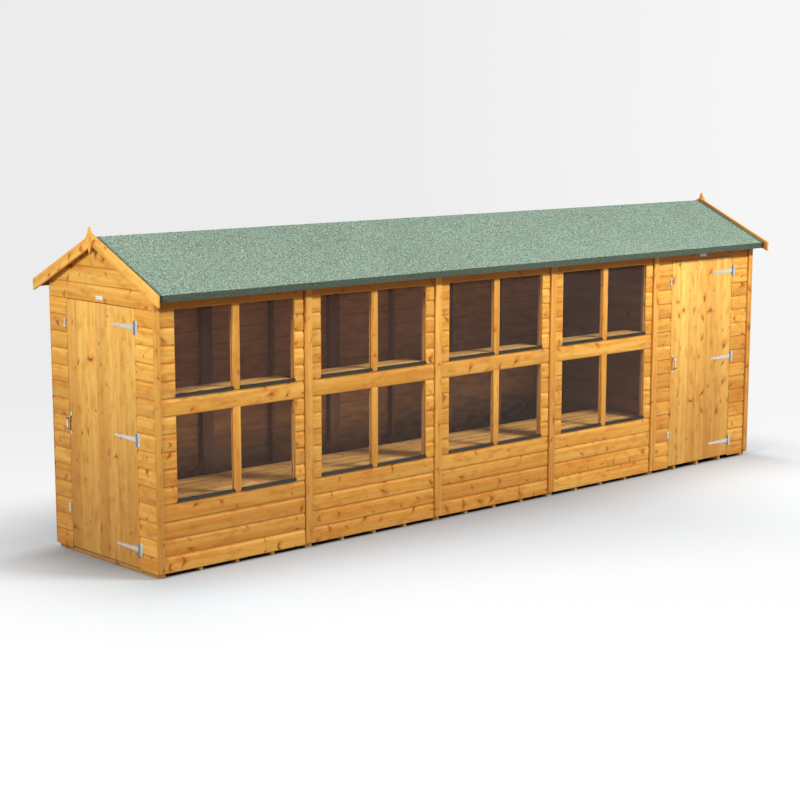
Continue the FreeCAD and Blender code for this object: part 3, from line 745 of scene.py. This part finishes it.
def course_tree():
    """Sweeps the board profile along every course line, each pushed in or out a little."""
    wiring, given = node_tree("shiplap_courses", Profile="Object", Outward="Vector", Play="Float",
                              Seed="Int", Material="Material")
    island = wiring.add("GeometryNodeInputMeshIsland")
    inputs = {2: given["Play"] * -1, 3: given["Play"], "ID": island, "Seed": given["Seed"]}
    push = wiring.add("FunctionNodeRandomValue", {"data_type": "FLOAT"}, inputs, 1)
    lines = level_curves(wiring, given["Geometry"], wiring.scaled(given["Outward"], push))
    profile = wiring.add("GeometryNodeObjectInfo", inputs={"Object": given["Profile"]},
                         output="Geometry")
    inputs = {"Curve": lines, "Profile Curve": profile, "Fill Caps": True}
    boards = wiring.add("GeometryNodeCurveToMesh", inputs=inputs)
    return end_tree(wiring, boards, given["Material"])


def nail_tree():
    """Sets nail heads along every course line, a little in from its ends."""
    wiring, given = node_tree("cladding_nails", Spacing="Float", Inset="Float", Rise="Float",
                              Radius="Float", Height="Float", Material="Material")
    lines = level_curves(wiring, given["Geometry"], wiring.join(0.0, 0.0, given["Rise"]))
    length = wiring.add("GeometryNodeSplineLength")
    inputs = {"Curve": lines, 4: given["Inset"], 5: length - given["Inset"]}
    trimmed = wiring.add("GeometryNodeTrimCurve", {"mode": "LENGTH"}, inputs)
    count = wiring.larger(wiring.math("ROUND", length / given["Spacing"]) + 1.0, 2.0)
    spaced = wiring.add("GeometryNodeResampleCurve", inputs={"Curve": trimmed, "Count": count})
    spots, turns = wiring.add("GeometryNodeCurveToPoints", {"mode": "EVALUATED"},
                              {"Curve": spaced}, ("Points", "Rotation"))
    head = wiring.add("GeometryNodeMeshCone",
                      inputs={"Vertices": nail_sides, "Depth": given["Height"],
                              "Radius Top": given["Radius"] * nail_top_share,
                              "Radius Bottom": given["Radius"]})
    inputs = {0: head, "Rotation": (0, math.pi / 2, 0)}
    facing = wiring.add("GeometryNodeTransform", inputs=inputs)
    inputs = {"Points": spots, "Instance": facing, "Rotation": turns}
    nails = wiring.add("GeometryNodeInstanceOnPoints", inputs=inputs)
    return end_tree(wiring, nails, given["Material"])


def screw_tree():
    """Puts a screw on every point, facing outward, each stopped at a different turn."""
    wiring, given = node_tree("crosshead_screws", Screw="Object", Seed="Int", Material="Material")
    shape = wiring.add("GeometryNodeObjectInfo", inputs={"Object": given["Screw"]},
                       output="Geometry")
    outward = wiring.add("GeometryNodeInputNamedAttribute", {"data_type": "FLOAT_VECTOR"},
                         {"Name": "outward"})
    facing = wiring.add("FunctionNodeAlignRotationToVector", {"axis": "Z"}, {"Vector": outward})
    inputs = {2: 0.0, 3: math.pi, "Seed": given["Seed"]}
    stop = wiring.add("FunctionNodeRandomValue", {"data_type": "FLOAT"}, inputs, 1)
    inputs = {"Axis": (0, 0, 1), "Angle": stop}
    spin = wiring.add("FunctionNodeAxisAngleToRotation", inputs=inputs)
    turn = wiring.add("FunctionNodeRotateRotation", {"rotation_space": "LOCAL"},
                      {0: facing, 1: spin})
    points = wiring.add("GeometryNodeMeshToPoints", inputs={"Mesh": given["Geometry"]})
    inputs = {"Points": points, "Instance": shape, "Rotation": turn}
    screws = wiring.add("GeometryNodeInstanceOnPoints", inputs=inputs)
    return end_tree(wiring, screws, given["Material"])


# Cladding
def shiplap_profile(tongue):
    """Section of one board as distance out from its face and height above its foot."""
    points = [(-lip_round, 0.0), (-lip_round * 0.3, lip_round * 0.3), (0.0, lip_round)]
    for step in range(cove_steps + 1):
        angle = math.pi / 2 * step / cove_steps
        rise = board_cover - cove_height * math.cos(angle)
        points.append((-tongue_face * math.sin(angle), rise))
    crest = board_cover
    if tongue:
        crest = board_cover + tongue_height
        points.append((-tongue_face, crest))
    points += [(-cladding_thickness, crest), (-cladding_thickness, board_lap),
               (-lip_thickness, board_lap), (-lip_thickness, 0.0)]
    curve = bpy.data.curves.new("board_section", "CURVE")
    curve.dimensions = "3D"
    spline = curve.splines.new("POLY")
    spline.points.add(len(points) - 1)
    for point, (out, rise) in zip(spline.points, points):
        point.co = (out, -rise, 0.0, 1.0)
    spline.use_cyclic_u = True
    return placed("board_section", curve)


def course_line(low, high, outward):
    """Ends of a board's foot on its face, running so that the section faces outward."""
    if outward == to_front:
        return (low.x, low.y, low.z), (high.x, low.y, low.z)
    if outward == to_back:
        return (high.x, high.y, low.z), (low.x, high.y, low.z)
    if outward == to_left:
        return (low.x, high.y, low.z), (low.x, low.y, low.z)
    return (high.x, low.y, low.z), (high.x, high.y, low.z)


def line_mesh(lines):
    mesh = bpy.data.meshes.new("lines")
    ends = [end for line in lines for end in line]
    mesh.from_pydata(ends, [(2 * i, 2 * i + 1) for i in range(len(lines))], [])
    return mesh


def sorted_boards(node):
    """Course lines of the boards with and without a tongue, and the solids that are cut to the
    roof."""
    full = []
    flush = []
    cut = []
    for points, faces in solids_of(node):
        low = Vector(points.min(0))
        high = Vector(points.max(0))
        height = high.z - low.z
        top_length = np.ptp(points[points[:, 2] > high.z - size_slack], axis=0).max()
        square = top_length > max(high.x - low.x, high.y - low.y) - size_slack
        line = course_line(low, high, wall_faces[node])
        if square and abs(height - board_cover - tongue_height) < size_slack:
            full.append(line)
        elif square and abs(height - board_cover) < size_slack:
            flush.append(line)
        else:
            cut.append((points, faces))
    return full, flush, cut


def clad_walls():
    """Boards of every wall; returns the course lines for the nails."""
    tree = course_tree()
    tongued = shiplap_profile(True)
    untongued = shiplap_profile(False)
    nailed = []
    for node, outward in wall_faces.items():
        full, flush, cut = sorted_boards(node)
        bm = bmesh.new()
        for section, lines in ((tongued, full), (untongued, flush)):
            if lines:
                bm.from_mesh(grown(line_mesh(lines), tree, Profile=section, Outward=outward,
                                   Play=board_play, Seed=random_seed, Material=shiplap_timber))
        bmesh.ops.recalc_face_normals(bm, faces=bm.faces)
        for solid in cut:
            eased_into(bm, solid, cut_board_ease, cut_board_segments)
        mesh = closed_mesh(bm, node)
        mark_grain(mesh, node, run=1 if outward in (to_left, to_right) else 0)
        mark_back(mesh, outward)
        show_for(node, mesh, "boards")
        if slot_of[node] == "cladding":
            nailed += full + flush
    bpy.data.objects.remove(tongued)
    bpy.data.objects.remove(untongued)
    return nailed


def nail_boards(lines):
    heads = grown(line_mesh(lines), nail_tree(), Spacing=nail_spacing, Inset=nail_end_inset,
                  Rise=nail_rise, Radius=nail_radius, Height=nail_height, Material=nail_finish)
    show(heads, "cladding_nail_heads", "structure", nail_finish)


# Timbers other than the cladding
def ease_timbers():
    for node, slot in slot_of.items():
        if slot in timber_ease and node not in wall_faces:
            mesh = eased_mesh(node, bead_ease if node == "glazing_beads" else timber_ease[slot])
            leaning = node in barge_faces
            mark_grain(mesh, node, run=2 if node.endswith("door_boards") else None,
                       leaning=leaning, lift=pale_lift if leaning or node == "finials" else 0.0)
            # The bargeboards' inner faces are marked as backs, which the trim finish darkens with
            # painted shade
            if leaning:
                mark_back(mesh, barge_faces[node])
            show_for(node, mesh, "eased")


# Ironmongery, drip bars and plates
def shade_knuckles(mesh):
    """Puts a darker finish, painted shade, on the faces that wrap a hinge pin."""
    pins = np.array([points.mean(0)[:2] for points, _ in solids_of("hinge_pins")])
    mesh.materials.append(oiled_knuckle.material)
    for face in mesh.polygons:
        if np.hypot(*(pins - np.array(face.center[:2])).T).min() < knuckle_reach:
            face.material_index = 1


def ease_fittings():
    for node, slot in slot_of.items():
        if slot in ("zinc", "drip", "label") and not node.endswith("screws"):
            mesh = eased_mesh(node, fitting_ease.get(node, small_ease), handle_faces.get(node))
            show_for(node, mesh, "eased")
            if node == "hinge_plates" or node.endswith("straps"):
                shade_knuckles(mesh)


def screw_dome():
    """Domed screw head, its seat at the origin and its head up."""
    bm = bmesh.new()
    turns = [2 * math.pi * i / screw_sides for i in range(screw_sides)]
    rows = []
    for ring in range(screw_rings):
        angle = math.pi / 2 * ring / screw_rings
        radius = screw_head_radius * math.cos(angle)
        dome = screw_rim_share + (1 - screw_rim_share) * math.sin(angle)
        rows.append([bm.verts.new((radius * math.cos(turn), radius * math.sin(turn),
                                   screw_head_height * dome)) for turn in turns])
    crown = bm.verts.new((0, 0, screw_head_height))
    foot = [bm.verts.new((vert.co.x, vert.co.y, 0.0)) for vert in rows[0]]
    bm.faces.new(foot[::-1])
    for below, above in zip([foot] + rows[:-1], rows):
        for i in range(screw_sides):
            j = (i + 1) % screw_sides
            bm.faces.new((below[i], below[j], above[j], above[i]))
    for i in range(screw_sides):
        bm.faces.new((rows[-1][i], rows[-1][(i + 1) % screw_sides], crown))
    return closed_mesh(bm, "crosshead_screw")


def crosshead_screw():
    """Screw head with a cross sunk into it."""
    screw = placed("crosshead_screw", screw_dome())
    slot_halves = (screw_slot_half_length, screw_slot_half_width)
    for half_x, half_y in (slot_halves, slot_halves[::-1]):
        blade_bm = bmesh.new()
        bmesh.ops.create_cube(blade_bm, size=2.0)
        bmesh.ops.scale(blade_bm, vec=(half_x, half_y, screw_slot_depth), verts=blade_bm.verts)
        bmesh.ops.translate(blade_bm, vec=(0, 0, screw_head_height), verts=blade_bm.verts)
        blade = placed("slot_blade", closed_mesh(blade_bm, "slot_blade"))
        slot = screw.modifiers.new("slot", "BOOLEAN")
        slot.object = blade
        slot.solver = "EXACT"
        slotted = evaluated_mesh(screw)
        screw.modifiers.remove(slot)
        screw.data = slotted
        bpy.data.objects.remove(blade)
    return screw


def drive_screws():
    """A screw in every screw solid's place, its head where the solid's head is."""
    screw = crosshead_screw()
    tree = screw_tree()
    for node in slot_of:
        if node.endswith("screws"):
            spots = []
            outward = []
            for points, _ in solids_of(node):
                low = points.min(0)
                high = points.max(0)
                axis = np.argmin(high - low)
                spot = (low + high) / 2
                spot[axis] = low[axis] + screw_head_height
                spots.append(tuple(spot))
                outward.append(-np.eye(3)[axis])
            mesh = bpy.data.meshes.new(node)
            mesh.from_pydata(spots, [], [])
            mark(mesh, "outward", "FLOAT_VECTOR", outward)
            finish = slot_finishes[slot_of[node]]
            heads = grown(mesh, tree, Screw=screw, Seed=random_seed, Material=finish)
            show_for(node, heads, "crosshead")
    bpy.data.objects.remove(screw)


# Felt
def felt_line(node):
    """Top line of one sheet from the ridge to the foot of its fold, as distance out and height."""
    points = mesh_points(frame["nodes"][node].data)
    out = np.abs(points[:, 1])
    reach = out.max()
    edge = points[out > reach - size_slack]
    eave = edge[:, 2].max()
    foot = edge[:, 2].min()
    ridge = points[:, 2].max()
    line = []
    for step in range(felt_slope_steps):
        share = step / felt_slope_steps
        line.append((reach * share, ridge + (eave - ridge) * share))
    turn = math.pi / 2 - math.atan2(ridge - eave, reach)
    middle_out = reach - felt_fold_radius
    middle_rise = eave - felt_fold_radius * math.tan(turn / 2)
    for step in range(felt_turn_steps + 1):
        angle = turn - turn * step / felt_turn_steps
        line.append((middle_out + felt_fold_radius * math.cos(angle),
                     middle_rise + felt_fold_radius * math.sin(angle)))
    drop = line[-1][1]
    for step in range(1, felt_drop_steps + 1):
        line.append((reach, drop + (foot - drop) * step / felt_drop_steps))
    return np.array(line)


def felt_mesh(node, side):
    """A sheet with its fold, top and underside, that lies a little uneven."""
    line = felt_line(node)
    tangent = np.gradient(line, axis=0)
    normal = np.stack([-tangent[:, 1], tangent[:, 0]], axis=1)
    normal /= np.linalg.norm(normal, axis=1, keepdims=True)
    normal *= np.sign(normal[:, 1:2] + normal[:, :1])
    low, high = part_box(node)
    stations = np.linspace(low.x, high.x, felt_stations)
    chance = np.random.default_rng(random_seed + side)
    phase = chance.uniform(0, 2 * math.pi, felt_waves)

    def dip(x, out):
        """How far the sheet lies below its line: several waves of different pitch together."""
        waves = 0.0
        for k in range(felt_waves):
            along = x * (felt_pitch_along + felt_pitch_along_step * k)
            down = out * (felt_pitch_down + felt_pitch_down_step * k)
            waves += math.sin(along + down + phase[k])
        return felt_wave * (0.5 + 0.5 * (waves / felt_waves))

    bm = bmesh.new()
    layers = []
    for depth in (0.0, felt_thickness):
        layers.append([])
        for x in stations:
            row = []
            for (out, rise), (over, up) in zip(line, normal):
                sunk = -dip(x, out) - depth
                row.append(bm.verts.new((x, side * (out + over * sunk), rise + up * sunk)))
            layers[-1].append(row)
    top, under = layers
    last = len(line) - 1
    for i in range(felt_stations - 1):
        for j in range(last):
            bm.faces.new((top[i][j], top[i + 1][j], top[i + 1][j + 1], top[i][j + 1]))
            bm.faces.new((under[i][j + 1], under[i + 1][j + 1], under[i + 1][j], under[i][j]))
        for j in (0, last):
            bm.faces.new((top[i][j], top[i + 1][j], under[i + 1][j], under[i][j]))
    for i in (0, felt_stations - 1):
        for j in range(last):
            bm.faces.new((top[i][j], top[i][j + 1], under[i][j + 1], under[i][j]))
    bmesh.ops.recalc_face_normals(bm, faces=bm.faces)
    mesh = closed_mesh(bm, node)
    fold_start = line[-1 - felt_drop_steps][0] - felt_fold_radius * 0.3
    mark(mesh, "fold", "FLOAT", [float(abs(vert.co.y) > fold_start) for vert in mesh.vertices])
    return mesh


def lay_felt():
    """Each sheet follows its boards and folds down over the eave."""
    for node, side in (("roof_felt_front", -1), ("roof_felt_back", 1)):
        piece = show_for(node, felt_mesh(node, side), "sheet")


# Stage, light and camera
def floor_paint():
    """Pale paint that deepens the shed's soft shadow with painted shadow, carries painted light and
    shade along the shed, and fades into the pale world.
    """
    paint = Finish("pale_floor", Roughness=0.9, Specular_IOR_Level=0.1)
    low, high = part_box("floor_joists")
    x, y, _ = paint.split(paint.place())
    left_of = low.x - x
    right_of = x - high.x
    beyond_y = paint.larger(low.y - y, y - high.y)
    # Painted shade under the joists
    under = 1 - paint.ease(paint.larger(paint.larger(left_of, right_of), beyond_y), -0.06, 0.02)

    # How far a spot is from the joists; off the store end the painted shade ends sooner
    away_x = paint.larger(paint.larger(left_of, right_of * 3.5), 0.0)
    away_y = paint.larger(beyond_y, 0.0)
    away = paint.math("SQRT", away_x * away_x + away_y * away_y)

    # Painted shade beside the walls, weaker behind the shed, and the deeper painted shade at the
    # gable's foot
    weaker = 1 - paint.ease(y, 0.4, 0.7) * 0.75
    beside = (1 - paint.ease(away, -0.9, 0.9)) * weaker
    beside_depth = 0.5 + paint.ease(x, -3.4, -2.7) * 0.3 - paint.ease(x, 0.5, 2.5) * 0.06
    off_gable = paint.past(left_of, 0.0, 0.02) * paint.ease(y - low.y, 0.0, 0.6)
    gable_foot = (1 - paint.ease(away, -0.7, 0.8)) * off_gable * weaker

    # Painted light and shade on the floor from the gable end to the store end, paler behind the
    # gable
    level = 1.03 + paint.ease(x, -3.5, -2.8) * 0.08 - paint.ease(x, -3.4, 0.0) * 0.26
    level = level + paint.ease(x, 0.4, 2.6) * 0.3
    level = level + paint.ease(-2.6 - x, 0.0, 0.5) * paint.ease(y, 0.35, 0.75) * 0.2
    shade = (1 - beside * beside_depth) * (1 - gable_foot * 0.62) * (1 - under * 0.92)
    # The cool tint offsets the warm light that the walls throw on the floor
    paint.set("Base_Color", paint.scaled((0.73, 0.775, 0.81), level * shade))
    reach = 1.7 + paint.ease(x, -2.0, 2.5) * 1.9
    paint.set("Alpha", 1 - paint.ease(away / reach, 0.04, 1.0))
    return paint.material


def backdrop(half):
    """Pale floor that keeps the shed's shadow, with more shadow painted on it, half its width to
    each side.
    """
    mesh = bpy.data.meshes.new("floor_sheet")
    corners = [(-half, -half, 0), (half, -half, 0), (half, half, 0), (-half, half, 0)]
    mesh.from_pydata(corners, [], [(0, 1, 2, 3)])
    mesh.materials.append(floor_paint())
    placed("floor_sheet", mesh)


def surroundings(light_level):
    """Pale world: a wall that is lighter to the right and white below, where it is seen, and a
    plain light elsewhere."""
    world = bpy.data.worlds.new("pale_world")
    bpy.context.scene.world = world
    world.use_nodes = True
    wiring = Wiring(world.node_tree)
    seen, mirrored, through = wiring.add(
        "ShaderNodeLightPath", output=("Is Camera Ray", "Is Glossy Ray", "Is Transmission Ray"))
    shown = wiring.math("MINIMUM", seen + mirrored + through, 1.0)
    aside, _, height = wiring.split(wiring.add("ShaderNodeTexCoord", output="Generated"))
    to_the_right = wiring.add("ShaderNodeMapRange",
                              inputs={"Value": aside, "From Min": 0.66, "From Max": 0.8})
    wall = wiring.blend(to_the_right, display(236, 236, 236), display(246, 246, 246))
    pale = wiring.blend(wiring.ease(height, -0.14, -0.29), wall, display(255, 255, 255))
    plain = (light_level, light_level, light_level, 1)
    background = world.node_tree.nodes["Background"]
    wiring.feed(background.inputs["Color"], wiring.blend(shown, plain, pale))


def soft_lamp(name, power, width, height, place, target):
    lamp = bpy.data.lights.new(name, "AREA")
    lamp.energy = power
    lamp.shape = "RECTANGLE"
    lamp.size = width
    lamp.size_y = height
    holder = placed(name, lamp)
    holder.location = place
    aim = Vector(target) - Vector(place)
    holder.rotation_euler = aim.to_track_quat("-Z", "Y").to_euler()


def photo_camera(place, turn, fall, focal_length, sensor_width):
    """Camera of the photo: its place, turn and fall were fitted to the corners of the shed."""
    lens = bpy.data.cameras.new("photo_camera")
    lens.sensor_width = sensor_width
    lens.lens = focal_length
    camera = placed("photo_camera", lens)
    camera.location = place
    camera.rotation_euler = (math.radians(90 - fall), 0, math.radians(turn))
    bpy.context.scene.camera = camera


nail_boards(clad_walls())
ease_timbers()
ease_fittings()
drive_screws()
lay_felt()
frame["nodes"]["window_panes"].material_slots[0].material = slot_finishes["panes"]
backdrop(half=9.0)
surroundings(light_level=0.25)
soft_lamp("front_lamp", power=650, width=3.0, height=0.8, place=(2.6, -6.6, 6.2),
          target=(0.8, -0.6, 1.2))
soft_lamp("gable_lamp", power=385, width=1.6, height=1.6, place=(-8.2, -2.3, 5.0),
          target=(-3.0, 0.0, 1.1))
photo_camera(place=(-9.288, -9.777, 3.002), turn=-42.219, fall=9.544, focal_length=81.54,
             sensor_width=36.0)
bpy.context.scene.view_settings.view_transform = "Standard"
